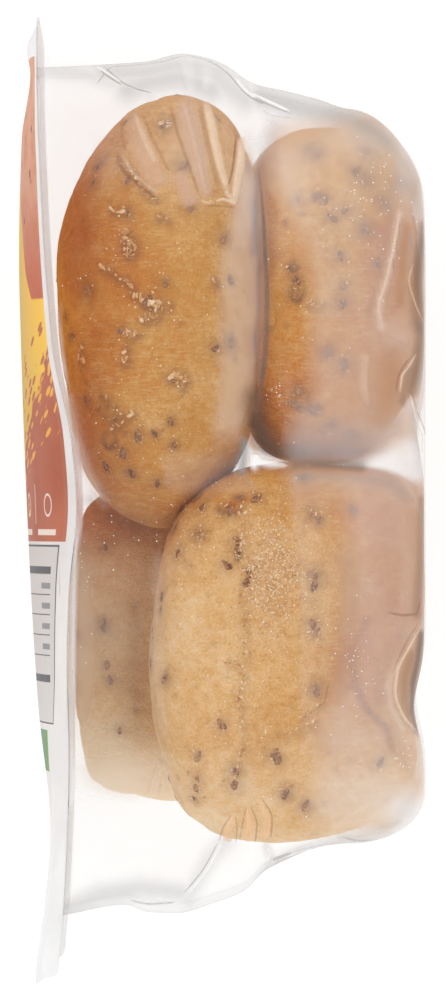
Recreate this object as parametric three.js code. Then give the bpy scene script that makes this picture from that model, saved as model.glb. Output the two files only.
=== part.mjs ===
// A sealed pack of four ciabatta rolls, lying on one of its long seals.
// A printed lid film faces -X and is sealed all round to a clear pocket that bulges to +X.
// Y runs along the pack and +Z is up. The origin is the middle of the footprint.
// All sizes are in millimetres.
import * as THREE from 'three';

// Driving dimensions of the pack
const packLength = 245;          // Y, from end to end of the flange
const packDepth = 104;           // X, from the crown of the lid to the back of the pocket
const packWidth = 112;           // Z, across the two long seals

// The flange, where both films are sealed face to face
const longSeal = 8.5;            // width beside the pocket's long walls
const topSeal = 13;              // width at the +Y end
const bottomSeal = 17;           // width at the -Y end
const flangeCornerRadius = 3;
const endBow = 4.4;              // how far each end of the flange falls back at its corners
const endBowReach = 26;          // how far from each end that is felt
const endBowPower = 1.6;         // how late the fall starts, from the middle to a corner
const domePower = 2.2;           // how flat the lid's dome is in its middle
const filmStep = 0.5;            // thickness of one film in the solid
const filmGap = 0.35;            // clear space between the two films

// The pocket
const mouthRadius = 16;          // corners of the opening that the lid closes
const wallRadius = 24;           // corners of the pocket's walls, seen from the back
const topRound = 19;             // from the +Y wall over to the back
const bottomRound = 12;          // from the -Y wall over to the back
const sideRound = 15;            // from a long wall over to the back

// How finely the surfaces are cut
const longSteps = 16;            // along a long side of a ring
const shortSteps = 8;            // along a short side of a ring
const cornerSteps = 5;           // round a corner of a ring

const halfLength = packLength / 2;
const halfWidth = packWidth / 2;
const backX = packDepth / 2;
const topSealLine = halfLength - topSeal;
const bottomSealLine = -halfLength + bottomSeal;

// A smooth line through a few [place, value] pairs, level beyond both ends
function line(...knots) {
  const last = knots.length - 1;
  const rise = (k) => (knots[k + 1][1] - knots[k][1]) / (knots[k + 1][0] - knots[k][0]);
  const slopes = knots.map((_, k) => {
    if (k === 0 || k === last) return 0;
    const before = rise(k - 1);
    const after = rise(k);
    return before * after <= 0 ? 0 : (2 * before * after) / (before + after);
  });
  return (place) => {
    if (place <= knots[0][0]) return knots[0][1];
    if (place >= knots[last][0]) return knots[last][1];
    let k = 0;
    while (place > knots[k + 1][0]) k += 1;
    const span = knots[k + 1][0] - knots[k][0];
    const t = (place - knots[k][0]) / span;
    const arrive = t * t * (3 - 2 * t);
    return knots[k][1] * (1 - arrive) + knots[k + 1][1] * arrive
      + slopes[k] * span * t * (1 - t) * (1 - t)
      - slopes[k + 1] * span * t * t * (1 - t);
  };
}

const mix = THREE.MathUtils.lerp;

// The flange's long edge bows towards the pocket, along Y
const edgeX = line([-122, -41.3], [-104, -40.2], [-64, -38.8], [-40, -39.3], [-22, -38.7],
  [-2, -36.9], [15, -38.3], [38, -42.9], [76, -45.7], [109, -46.8]);
// The crown of the lid: domed by the gas inside, and curled at both ends
const crownX = line([-122, -47.8], [-102, -45.4], [-84, -44.0], [-51, -47.2], [-15, -49.4],
  [35, -51.4], [62, -backX], [91, -51.3], [108, -49.0], [114, -50.0], [122, -47.2]);
// How much of the rise from edge to crown the leaning flange takes
const sealShare = line([-110, 0.6], [-76, 0.6], [-40, 0.28], [25, 0.21], [76, 0.3], [110, 0.4]);

// The outer face of the lid film over the point (y, z)
function lidX(y, z) {
  const out = Math.min(Math.abs(z - halfWidth) / halfWidth, 1);
  const seal = 1 - longSeal / halfWidth;
  const share = sealShare(y);
  const rise = out < seal
    ? 1 - (1 - share) * (out / seal) ** domePower
    : share * (1 - out) / (1 - seal);
  return mix(edgeX(y), crownX(y), rise);
}

// The flange's cut ends bow outwards: their corners lie endBow back from their middle
const endShare = line([halfLength - endBowReach, 0], [halfLength, 1]);

function bowed(y, z) {
  const out = Math.abs(z - halfWidth) / halfWidth;
  return y - Math.sign(y) * endBow * out ** endBowPower * endShare(Math.abs(y));
}

// The pocket's four walls, each from the mouth (0) to the start of the rounded back (1)
const topWallY = line([0, topSealLine], [0.19, 110.1], [0.36, 111], [0.47, 112.9], [0.54, 112],
  [0.6, 110], [0.69, 105.2], [0.8, 103], [0.9, 101], [1, 99]);
const bottomWallY = line([0, bottomSealLine], [0.06, -104.4], [0.25, -101.7], [0.33, -103.6],
  [0.42, -103.9], [0.54, -101.3], [0.64, -98.3], [0.72, -92.7], [0.95, -86.6], [1, -86.4]);
const nearWallZ = line([0, packWidth - longSeal], [0.15, 104.6], [0.5, 105.4], [0.8, 104.4],
  [1, 102]);
const farWallZ = line([0, longSeal], [0.12, 1.5], [0.25, -1.5], [1, -1.5]);
const roundStartX = backX - topRound;

// Soft folds and dents: the film moves by push along the stretch from one point to another,
// and less and less beyond width
const folds = [
  // between the two upper rolls
  { from: [9, 84, 105], to: [12, 20, 105], width: 9, push: [0, 0, -4] },
  // between the upper rolls and the front lower one
  { from: [-30, -2, 105], to: [46, 8, 105], width: 10, push: [0, 0, -3.5] },
  // where the upper right roll stops short of the back
  { from: [52, 20, 92], to: [52, 14, 40], width: 9, push: [-2, 0, 0] },
  // across the back behind the front lower roll
  { from: [52, -52, 100], to: [52, -50, 8], width: 9, push: [-2.5, 0, 0] },
  // the empty corner below the rolls, and the one above them
  { from: [-26, -97, 105], to: [14, -96, 105], width: 14, push: [0, 0, -6] },
  { from: [-30, 110, 105], to: [8, 106, 105], width: 13, push: [0, -6, -3] },
  // the back leans in towards the shown side, and its upper end is rounder
  { from: [52, -80, 92], to: [52, 90, 92], width: 44, push: [-1.8, 0, 0] },
  { from: [49, 91, 100], to: [49, 91, 30], width: 14, push: [-1.6, -2.2, 0] },
].map(({ from, to, width, push }) => ({
  stretch: new THREE.Line3(new THREE.Vector3(...from), new THREE.Vector3(...to)),
  width,
  push: new THREE.Vector3(...push),
}));

function folded(point) {
  const moved = point.clone();
  const nearest = new THREE.Vector3();
  for (const { stretch, width, push } of folds) {
    stretch.closestPointToPoint(point, true, nearest);
    const away = nearest.distanceTo(point) / width;
    moved.addScaledVector(push, Math.exp(-away * away));
  }
  moved.x = Math.min(moved.x, backX);
  moved.z = Math.max(moved.z, 0);
  return moved;
}

// A ring of [y, z] points: a rectangle with round corners, always cut into the same steps
function ring({ bottom, top, far, near, radius }) {
  const corners = [
    { y: top - radius, z: near - radius, turn: 0, steps: longSteps },
    { y: bottom + radius, z: near - radius, turn: Math.PI / 2, steps: shortSteps },
    { y: bottom + radius, z: far + radius, turn: Math.PI, steps: longSteps },
    { y: top - radius, z: far + radius, turn: 1.5 * Math.PI, steps: shortSteps },
  ];
  const points = [];
  corners.forEach((corner, index) => {
    const arc = [];
    for (let step = 0; step <= cornerSteps; step += 1) {
      const angle = corner.turn + (step / cornerSteps) * (Math.PI / 2);
      arc.push([corner.y + radius * Math.cos(angle), corner.z + radius * Math.sin(angle)]);
    }
    points.push(...arc);
    const next = corners[(index + 1) % corners.length];
    const start = arc[cornerSteps];
    const end = [next.y + radius * Math.cos(next.turn), next.z + radius * Math.sin(next.turn)];
    for (let step = 1; step < corner.steps; step += 1) {
      const t = step / corner.steps;
      points.push([mix(start[0], end[0], t), mix(start[1], end[1], t)]);
    }
  });
  return points;
}

const flangeRim = {
  bottom: -halfLength, top: halfLength, far: 0, near: packWidth, radius: flangeCornerRadius,
};
const mouth = {
  bottom: bottomSealLine,
  top: topSealLine,
  far: longSeal,
  near: packWidth - longSeal,
  radius: mouthRadius,
};

// A rectangle part of the way from one to another, and one shrunk towards its middle
function between(a, b, t) {
  return Object.fromEntries(Object.keys(a).map((side) => [side, mix(a[side], b[side], t)]));
}

function shrunk({ bottom, top, far, near, radius }, share) {
  const middleY = (bottom + top) / 2;
  const middleZ = (far + near) / 2;
  return {
    bottom: mix(middleY, bottom, share),
    top: mix(middleY, top, share),
    far: mix(middleZ, far, share),
    near: mix(middleZ, near, share),
    radius: radius * share,
  };
}

// A ring laid on the lid's outer face, moved by depth into the pack
function onLid(rectangle, depth) {
  return ring(rectangle).map(([y, z]) => (
    new THREE.Vector3(lidX(y, z) + depth, bowed(y, z), z)
  ));
}

// One closed body from rings: its two ends close on a point each
function shell(rings) {
  const count = rings[0].length;
  const centre = (points) => points
    .reduce((sum, point) => sum.add(point), new THREE.Vector3())
    .divideScalar(points.length);
  const ends = [centre(rings[0]), centre(rings[rings.length - 1])];
  const corners = [...rings.flat(), ...ends];
  const positions = corners.flatMap((point) => point.toArray());
  const first = rings.length * count;
  const triangles = [];
  for (let side = 0; side < count; side += 1) {
    const next = (side + 1) % count;
    triangles.push(first, next, side);
    triangles.push(first + 1, first - count + side, first - count + next);
    for (let row = 0; row < rings.length - 1; row += 1) {
      const a = row * count + side;
      const b = row * count + next;
      const c = a + count;
      const d = b + count;
      // each four-sided patch is cut along its shorter diagonal, on either side of a film
      if (corners[b].distanceTo(corners[c]) < corners[a].distanceTo(corners[d])) {
        triangles.push(a, b, c, b, d, c);
      } else {
        triangles.push(a, b, d, a, d, c);
      }
    }
  }
  const geometry = new THREE.BufferGeometry();
  geometry.setAttribute('position', new THREE.Float32BufferAttribute(positions, 3));
  geometry.setIndex(triangles);
  geometry.computeVertexNormals();
  return geometry;
}

// Shares of the mouth at which the domed lid is cut, from its middle outwards
const domeShares = [0.12, 0.3, 0.48, 0.65, 0.82, 1];
const flangeShares = [0.5, 1];

// A sheet that follows the lid's outer face, from inside depth to outside depth
function sheetRings(inner, outer) {
  const face = (depth) => [
    ...domeShares.map((share) => onLid(shrunk(mouth, share), depth)),
    ...flangeShares.map((t) => onLid(between(mouth, flangeRim, t), depth)),
  ];
  return [...face(outer), ...face(inner).reverse()];
}

// The printed lid film
function lidFilm() {
  return shell(sheetRings(filmStep, 0));
}

// The clear pocket, closed by its own side of the seal and filled out to its film
function pocket() {
  const front = filmStep + filmGap;
  const back = front + filmStep;
  const sealed = sheetRings(back, front).slice(0, -domeShares.length);
  const wallShares = [0, 0.05, 0.12, 0.2, 0.28, 0.36, 0.44, 0.52, 0.6, 0.68, 0.76, 0.85, 1];
  const wall = wallShares.map((share) => {
    const rectangle = {
      bottom: bottomWallY(share),
      top: topWallY(share),
      far: farWallZ(share),
      near: nearWallZ(share),
      radius: mix(mouthRadius, wallRadius, share),
    };
    return ring(rectangle).map(([y, z]) => new THREE.Vector3(
      mix(lidX(y, z) + back, roundStartX, share),
      mix(bowed(y, z), y, share),
      z,
    ));
  });
  const roundSteps = 5;
  const rounded = [];
  let backFace = {};
  for (let step = 1; step <= roundSteps; step += 1) {
    const angle = (step / roundSteps) * (Math.PI / 2);
    const inset = 1 - Math.cos(angle);
    backFace = {
      bottom: bottomWallY(1) + bottomRound * inset,
      top: topWallY(1) - topRound * inset,
      far: farWallZ(1) + sideRound * inset,
      near: nearWallZ(1) - sideRound * inset,
      radius: wallRadius - sideRound * inset,
    };
    const x = roundStartX + topRound * Math.sin(angle);
    rounded.push(ring(backFace).map(([y, z]) => new THREE.Vector3(x, y, z)));
  }
  const capShares = [0.85, 0.7, 0.55, 0.4, 0.25, 0.1];
  const cap = capShares.map((share) => (
    ring(shrunk(backFace, share)).map(([y, z]) => new THREE.Vector3(backX, y, z))
  ));
  const body = [...wall, ...rounded, ...cap].map((points) => points.map(folded));
  return shell([...sealed, ...body]);
}

function named(name, geometry, color, roughness, opacity) {
  const material = new THREE.MeshStandardMaterial({ color, roughness, metalness: 0 });
  material.transparent = opacity < 1;
  material.opacity = opacity;
  const mesh = new THREE.Mesh(geometry, material);
  mesh.name = name;
  return mesh;
}

const pack = new THREE.Group();
pack.add(named('lid_film', lidFilm(), 0xf2b03c, 0.35, 1));
pack.add(named('pocket', pocket(), 0xe4c7a4, 0.15, 0.5));

export default pack;
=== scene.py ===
import math

import bmesh
import bpy
import numpy as np
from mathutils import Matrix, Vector
from mathutils.bvhtree import BVHTree


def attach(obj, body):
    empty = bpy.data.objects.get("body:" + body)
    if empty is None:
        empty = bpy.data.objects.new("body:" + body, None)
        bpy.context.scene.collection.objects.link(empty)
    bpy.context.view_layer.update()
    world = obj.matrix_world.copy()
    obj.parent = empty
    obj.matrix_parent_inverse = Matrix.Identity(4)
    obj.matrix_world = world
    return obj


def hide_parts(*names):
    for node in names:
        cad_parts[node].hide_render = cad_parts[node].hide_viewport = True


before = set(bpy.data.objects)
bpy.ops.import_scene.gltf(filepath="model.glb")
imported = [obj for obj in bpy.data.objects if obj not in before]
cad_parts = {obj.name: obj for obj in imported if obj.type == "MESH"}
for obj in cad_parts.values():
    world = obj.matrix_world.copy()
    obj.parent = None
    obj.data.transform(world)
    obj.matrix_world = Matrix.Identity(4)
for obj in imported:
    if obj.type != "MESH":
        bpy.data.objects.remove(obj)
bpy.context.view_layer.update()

# ---------------------------------------------------------------- the rolls
# Four oval ciabatta rolls, two above and two below. Each is soft dough with linseed and grains
# in it, proved, floured and part-baked until its crust is golden to orange-brown.
PIXEL = 0.254                 # mm in the pack's middle plane, for one pixel of the photograph
PHOTO_MIDDLE = (224.0, 500.25)          # the pixel that the pack's middle shows at
LOOK_FROM = 2600.0            # mm, how high the camera stands over the floor
MIDDLE_HEIGHT = 56.0          # mm, the plane that the photograph's scale is taken in
METRE = 0.001                 # one millimetre, in Blender's metres
OVER_THE_PACK = 200.0         # mm, a height to look straight down from


def from_photo(pixels, height):
    """Pixels of the photograph, as X and Y in mm at a height over the floor."""
    nearer = (LOOK_FROM - height) / (LOOK_FROM - MIDDLE_HEIGHT) * PIXEL
    pixels = np.asarray(pixels, float)
    x = (pixels[..., 0] - PHOTO_MIDDLE[0]) * nearer
    y = (PHOTO_MIDDLE[1] - pixels[..., 1]) * nearer
    return np.stack([x, y], -1)


def to_photo(points):
    """Where points in mm show in the photograph, in pixels."""
    nearer = (LOOK_FROM - MIDDLE_HEIGHT) / (LOOK_FROM - points[:, 2]) / PIXEL
    return np.stack([PHOTO_MIDDLE[0] + points[:, 0] * nearer,
                     PHOTO_MIDDLE[1] - points[:, 1] * nearer], -1)


def straight_down(tree, x, y):
    """Where a line straight down meets a surface, and the way out there: None if it misses."""
    return tree.ray_cast(Vector((x, y, OVER_THE_PACK)), Vector((0, 0, -1)))[:2]


def distance_along(path):
    """How far along a path each of its points lies."""
    return np.append(0, np.cumsum(np.linalg.norm(np.diff(path, axis=0), axis=1)))


def mesh_piece(name, points, faces):
    """A smooth-shaded object from points in mm and faces that index them."""
    mesh = bpy.data.meshes.new(name)
    mesh.from_pydata((np.asarray(points) * METRE).tolist(), [], [list(face) for face in faces])
    mesh.polygons.foreach_set("use_smooth", [True] * len(mesh.polygons))
    mesh.update()
    piece = bpy.data.objects.new(name, mesh)
    bpy.context.scene.collection.objects.link(piece)
    return piece


def spread(piece, name, values):
    """Keeps one number for each point of a piece, for its material to read."""
    layer = piece.data.attributes.new(name, "FLOAT", "POINT")
    layer.data.foreach_set("value", np.asarray(values, np.float32))


def lumps(points, size, seed, waves=28):
    """Smooth bumps about size mm across, mostly between -1 and 1."""
    draw = np.random.default_rng(seed)
    ways = draw.normal(size=(waves, 3))
    ways /= np.linalg.norm(ways, axis=1)[:, None]
    ways *= math.pi / size * draw.uniform(0.7, 1.4, (waves, 1))
    shifts = draw.uniform(0, 2 * math.pi, waves)
    return np.cos(points @ ways.T + shifts).sum(1) / math.sqrt(waves)


def ball(rows):
    """Points and four-sided faces of a ball of radius 1, from a cube with rows on each side."""
    made = bmesh.new()
    bmesh.ops.create_cube(made, size=2.0)
    bmesh.ops.subdivide_edges(made, edges=made.edges[:], cuts=rows - 1, use_grid_fill=True)
    points = np.array([vertex.co[:] for vertex in made.verts])
    faces = np.array([[vertex.index for vertex in face.verts] for face in made.faces])
    made.free()
    points = np.tan(points * math.pi / 4)
    return points / np.linalg.norm(points, axis=1)[:, None], faces


def soft_patch(pixels, x, y, across, along):
    """How strongly each pixel lies in a patch: 1 in its middle, 0 outside."""
    away = np.hypot((pixels[:, 0] - x) / across, (pixels[:, 1] - y) / along)
    return np.exp(-1.2 * away ** 2)


class Roll:
    """A roll's bare form: its outline as seen from above, filled out between two heights."""

    def __init__(self, outline, low, high, squareness):
        self.height = (low + high) / 2
        self.half_height = (high - low) / 2
        self.squareness = squareness
        edge = self._smooth(from_photo(outline, self.height))
        self.middle = np.append((edge.max(0) + edge.min(0)) / 2, self.height)
        away = edge - self.middle[:2]
        angles = np.arctan2(away[:, 1], away[:, 0])
        order = np.argsort(angles)
        self.angles = angles[order]
        self.reaches = np.hypot(*away.T)[order]

    @staticmethod
    def _smooth(corners, count=720, softness=9.0):
        """A smooth closed line through a few corners."""
        closed = np.vstack([corners, corners[:1]])
        walked = distance_along(closed)
        at = np.linspace(0, walked[-1], count, endpoint=False)
        dense = np.stack([np.interp(at, walked, closed[:, axis]) for axis in (0, 1)], -1)
        reach = int(3 * softness)
        kernel = np.exp(-0.5 * (np.arange(-reach, reach + 1) / softness) ** 2)
        wrapped = np.vstack([dense[-reach:], dense, dense[:reach]])
        return np.stack([np.convolve(wrapped[:, axis], kernel / kernel.sum(), "valid")
                         for axis in (0, 1)], -1)

    def reach(self, angle):
        return np.interp(angle, self.angles, self.reaches, period=2 * math.pi)

    def surface(self, ways):
        """Points of the bare roll, one for each point of a ball."""
        turn = np.arctan2(ways[:, 1], ways[:, 0])
        share = 2 / self.squareness
        out = self.reach(turn) * np.hypot(ways[:, 0], ways[:, 1]) ** share
        up = self.half_height * np.sign(ways[:, 2]) * np.abs(ways[:, 2]) ** share
        return self.middle + np.stack([out * np.cos(turn), out * np.sin(turn), up], -1)

    def depth(self, points):
        """How far out points lie: 1 on the bare roll and less inside it."""
        away = points - self.middle
        turn = np.arctan2(away[:, 1], away[:, 0])
        level = np.hypot(away[:, 0], away[:, 1]) / self.reach(turn)
        up = np.abs(away[:, 2]) / self.half_height
        return (level ** self.squareness + up ** self.squareness) ** (1 / self.squareness)


# Their outlines, clockwise in pixels of the photograph, then lowest and highest point in mm
upper_left = Roll(
    [(176, 93), (206, 99), (236, 123), (252, 160), (261, 200), (264, 250), (264, 311), (262, 378),
     (256, 412), (249, 440), (237, 466), (219, 490), (194, 518), (166, 531), (139, 525), (108, 507),
     (83, 472), (67, 405), (59, 330), (57, 250), (69, 200), (86, 162), (107, 134), (134, 107)],
    26, 103.6, 3.0)
upper_right = Roll(
    [(262, 150), (284, 132), (327, 127), (354, 131), (378, 142), (397, 165), (410, 200), (419, 240),
     (423, 290), (423, 330), (418, 372), (407, 400), (389, 427), (374, 449), (351, 462), (318, 465),
     (285, 462), (263, 453), (246, 425), (240, 380), (238, 300), (241, 210), (249, 172)],
    18, 97.6, 2.8)
lower_front = Roll(
    [(181, 506), (200, 487), (226, 472), (262, 464), (300, 462), (366, 465), (397, 474), (415, 492),
     (422, 540), (423, 600), (420, 640), (412, 675), (406, 703), (412, 730), (420, 755), (411, 786),
     (384, 815), (350, 834), (300, 841), (262, 842), (223, 837), (193, 823), (178, 805), (164, 763),
     (153, 715), (149, 660), (151, 625), (158, 578), (164, 545)],
    54, 103.6, 3.2)
lower_back = Roll(
    [(83, 510), (97, 496), (130, 485), (180, 483), (235, 492), (262, 530), (272, 600), (270, 690),
     (258, 760), (225, 795), (180, 801), (136, 796), (110, 792), (90, 786), (79, 742), (75, 706),
     (71, 668), (73, 612), (76, 562)],
    4, 52, 3.0)

# How brown each crust is baked, and the soft patches where it is browner or paler: pixel,
# reach across and along, and how much. Some patches are baking; others are painted shade in the
# gaps where the rolls meet and down the right-hand sides, and painted light on the upper left
# roll's left side and the lower back roll's bottom.
baked = {"roll_upper_left": 0.5, "roll_upper_right": 0.49, "roll_lower_front": 0.32,
         "roll_lower_back": 0.22}
bake_light_and_shade_patches = {
    # the paler patches down the left side are painted light
    "roll_upper_left": [
        (62, 330, 26, 150, -0.04), (112, 250, 45, 70, 0.2), (112, 350, 36, 90, 0.28),
        (74, 440, 26, 60, -0.12), (240, 330, 40, 170, -0.16), (150, 505, 90, 40, 0.06),
        (190, 120, 70, 40, -0.04), (190, 260, 50, 90, 0.05)],
    # the patches along the gap beside the upper left roll, at the bottom next to the front roll and
    # down the right side are painted shade
    "roll_upper_right": [
        (290, 340, 30, 110, 0.08), (268, 420, 40, 55, 0.22), (340, 260, 60, 120, 0.12),
        (384, 235, 26, 60, 0.2), (330, 180, 100, 60, -0.06), (395, 330, 30, 120, 0.16),
        (262, 300, 10, 190, 0.12), (330, 456, 90, 24, 0.3)],
    # the patches along the top edge under the upper rolls and down the right side are painted shade
    "roll_lower_front": [
        (215, 490, 75, 34, 0.16), (231, 507, 9, 5, 0.5), (240, 499, 9, 4, 0.4),
        (290, 590, 30, 80, 0.04), (168, 590, 30, 110, -0.04), (235, 690, 70, 80, -0.08),
        (230, 810, 110, 60, -0.2), (400, 800, 60, 50, -0.1), (390, 590, 60, 130, 0.42),
        (350, 700, 50, 90, 0.16), (350, 500, 90, 40, 0.2), (350, 464, 90, 16, 0.3)],
    # the top patch is painted shadow of the upper left roll, the one beside the front roll painted
    # shade, and the paler bottom patches painted light
    "roll_lower_back": [
        (120, 515, 120, 40, 0.36), (110, 620, 90, 80, 0.08), (140, 700, 30, 60, 0.2),
        (110, 800, 120, 60, -0.46), (105, 750, 60, 40, -0.16)],
}


def linear(red, green, blue):
    """A colour from 0 to 255 as the eye reads it, in the numbers that light is reckoned in."""
    def one(value):
        value /= 255
        return value / 12.92 if value <= 0.04045 else ((value + 0.055) / 1.055) ** 2.4
    return (one(red), one(green), one(blue), 1.0)


class Finish:
    """A material, with short ways of adding its nodes."""

    def __init__(self, name):
        self.material = bpy.data.materials.new(name)
        self.material.use_nodes = True
        self.tree = self.material.node_tree
        self.tree.nodes.clear()

    def node(self, kind, links=None, **settings):
        made = self.tree.nodes.new("ShaderNode" + kind)
        for key, value in settings.items():
            setattr(made, key, value)
        for socket, value in (links or {}).items():
            self.join(value, made.inputs[socket])
        return made

    def join(self, value, socket):
        if isinstance(value, bpy.types.NodeSocket):
            self.tree.links.new(value, socket)
        else:
            socket.default_value = value

    def math(self, operation, *values, clamp=False):
        made = self.node("Math", operation=operation, use_clamp=clamp)
        for socket, value in zip(made.inputs, values):
            self.join(value, socket)
        return made.outputs[0]

    def times(self, first, second, clamp=False):
        return self.math("MULTIPLY", first, second, clamp=clamp)

    def less(self, first, second):
        return self.math("SUBTRACT", first, second)

    def scaled(self, value, factor, added, clamp=False):
        """A value times a factor, with something added."""
        return self.math("MULTIPLY_ADD", value, factor, added, clamp=clamp)

    def place(self):
        return self.node("TexCoord").outputs["Object"]

    def stretched(self, *scales):
        """The place, with each direction's scale changed for long or short clouds."""
        return self.node("Mapping", {"Vector": self.place(), "Scale": scales}).outputs[0]

    def kept(self, name):
        return self.node("Attribute", attribute_name=name).outputs["Fac"]

    def noise(self, size, detail=3.0, roughness=0.5, distortion=0.0, place=None):
        """Clouds about size mm across."""
        return self.node("TexNoise", {
            "Vector": place or self.place(), "Scale": 1 / (size * METRE), "Detail": detail,
            "Roughness": roughness, "Distortion": distortion}).outputs["Fac"]

    def ramp(self, value, *stops):
        """Numbers or colours that value runs through, as (value, colour) pairs."""
        made = self.node("ValToRGB", {"Fac": value})
        ends = made.color_ramp.elements
        while len(ends) < len(stops):
            ends.new(0.5)
        for end, (position, colour) in zip(ends, stops):
            end.position = position
            end.color = colour if isinstance(colour, tuple) else (colour, colour, colour, 1)
        return made.outputs["Color"]

    def clouded(self, size, detail, first, second):
        """Two tones that run into each other in clouds about size mm across."""
        return self.ramp(self.noise(size, detail), (0.3, first), (0.7, second))

    def patchy(self, size, empty, full, most=1.0):
        """Patches about size mm across: 0 where the clouds are under empty, most over full."""
        return self.ramp(self.noise(size, 2), (empty, 0.0), (full, most))

    def dots(self, scale, inner, outer):
        """Scattered round dots, 1 in the middle and 0 outside."""
        cells = self.node("TexVoronoi", {"Vector": self.place(), "Scale": scale})
        return self.ramp(cells.outputs["Distance"], (inner, 1.0), (outer, 0.0))

    def over(self, below, share, above):
        """One colour laid over another."""
        made = self.node("Mix", data_type="RGBA")
        for socket, value in ((0, share), (6, below), (7, above)):
            self.join(value, made.inputs[socket])
        return made.outputs[2]

    def shaders(self, share, first, second):
        return self.node("MixShader", {0: share, 1: first, 2: second}).outputs[0]

    def bump(self, height, depth, strength):
        """The way out of the surface, tilted by relief that is depth mm deep."""
        return self.node("Bump", {"Height": height, "Distance": depth * METRE,
                                  "Strength": strength}).outputs[0]

    def body(self, colour, roughness, sheen=0.5, **more):
        """The shader of an ordinary body with a colour of its own."""
        sockets = {"Base Color": colour, "Roughness": roughness, "Specular IOR Level": sheen}
        return self.node("BsdfPrincipled", sockets | more).outputs[0]

    def clear(self, share=1.0):
        """The shader of something that light goes straight through."""
        return self.node("BsdfTransparent", {"Color": (share, share, share, 1)}).outputs[0]

    def looked_at(self):
        """1 for what the camera sees straight on, 0 for what lights or mirrors other pieces."""
        return self.node("LightPath").outputs["Is Camera Ray"]

    def done(self, shader):
        self.node("OutputMaterial", {"Surface": shader})
        return self.material


def crust_finish():
    made = Finish("crust")
    broad = made.noise(15, 4, 0.6, 0.5)
    fine = made.noise(2.4, 4, 0.62)
    speckle = made.noise(0.6, 2, 0.7)
    # this value holds the baking, with patches of painted shade and painted light
    brown = made.scaled(broad, 0.5, made.kept("bake"))
    brown = made.scaled(fine, 0.42, brown)
    brown = made.scaled(speckle, 0.32, brown)
    brown = made.math("ADD", brown, -0.63, clamp=True)
    colour = made.ramp(brown, (0.0, linear(245, 214, 172)), (0.25, linear(234, 184, 122)),
                       (0.48, linear(212, 150, 72)), (0.68, linear(204, 126, 44)),
                       (0.86, linear(188, 104, 30)), (1.0, linear(140, 70, 30)))
    # flour and dry skin, in short strokes across the roll
    strokes = made.noise(1.7, 3, 0.7, 0.6, made.stretched(0.5, 3, 0.5))
    dusty = made.times(made.ramp(strokes, (0.5, 0.0), (0.66, 1.0)), made.patchy(20, 0.38, 0.58))
    colour = made.over(colour, made.times(dusty, 0.5), linear(228, 186, 134))
    # grains just under the skin
    under = made.times(made.dots(140.0, 0.08, 0.24), made.patchy(9, 0.53, 0.64))
    colour = made.over(colour, made.times(under, 0.35), linear(120, 84, 62))
    # darker where seeds stain the crust, and painted shadow beside torn flakes and in blister rims
    colour = made.over(colour, made.kept("stain_and_shadow"), linear(112, 66, 48))
    height = made.scaled(fine, 0.8, made.times(speckle, 0.5))
    height = made.scaled(strokes, 0.45, height)
    return made.done(made.body(colour, made.scaled(fine, 0.3, 0.45), 0.3,
                               Normal=made.bump(height, 1.0, 0.75)))


crust = crust_finish()
pits = 140                    # small hollows where the skin has sunk, on each roll
ball_points, ball_faces = ball(120)


def outward(points, faces):
    """The way out at each point of a closed form."""
    a, b, c, d = (points[faces[:, corner]] for corner in range(4))
    flat = np.cross(c - a, d - b)
    total = np.zeros_like(points)
    for corner in range(4):
        np.add.at(total, faces[:, corner], flat)
    return total / np.maximum(np.linalg.norm(total, axis=1), 1e-9)[:, None]


class Crust:
    """A baked roll: its points with the crust's relief, and where it is stained by seeds or carries
    painted shadow.
    """

    def __init__(self, name, form, seed):
        bare = form.surface(ball_points)
        self.name = name
        self.form = form
        self.out = outward(bare, ball_faces)
        relief = (0.8 * lumps(bare, 17, seed) + 0.4 * lumps(bare, 7, seed + 50)
                  + 0.16 * lumps(bare, 2.8, seed + 90))
        # the dough rises against the film and so is flatter where it swells
        relief = np.minimum(relief, 0.2 * relief)
        draw = np.random.default_rng(seed + 31)
        for middle in bare[draw.integers(len(bare), size=pits)]:
            away = np.linalg.norm(bare - middle, axis=1) / draw.uniform(0.5, 1.5)
            relief -= draw.uniform(0.15, 0.45) * np.exp(-away ** 2)
        self.points = bare + self.out * relief[:, None]
        self.bake = baked[name] + 0.06 * lumps(bare, 30, seed + 7)
        seen = to_photo(self.points)
        # patches of baking, painted shade and painted light
        for *patch, amount in bake_light_and_shade_patches[name]:
            self.bake += amount * soft_patch(seen, *patch)
        self.stain_and_shadow = np.zeros(len(bare))
        self.tree = BVHTree.FromPolygons(self.points.tolist(), ball_faces.tolist())

    def under(self, pixel):
        """The point of the upper side that shows at a pixel, and the way out there."""
        height = self.form.height
        for _ in range(4):
            point, out = straight_down(self.tree, *from_photo(pixel, height))
            if point is None:
                return None
            height = point.z
        return np.array(point), np.array(out)

    def mark(self, point, reach, strength):
        """Darkens the crust about a point, as a seed's stain or as painted shadow."""
        away = np.linalg.norm(self.points - point, axis=1) / reach
        self.stain_and_shadow = np.maximum(self.stain_and_shadow, strength * np.exp(-away ** 2))


crusts = [
    Crust("roll_upper_left", upper_left, 11),
    Crust("roll_upper_right", upper_right, 12),
    Crust("roll_lower_front", lower_front, 13),
    Crust("roll_lower_back", lower_back, 14),
]

# ---------------------------------------------------------------- seeds and crumbs
# Linseed and small grains are kneaded into the dough and show dark where the crust has split
# round them. The dried skin is torn to pale crumbs there, and rubbed to finer ones by the film.

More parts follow.
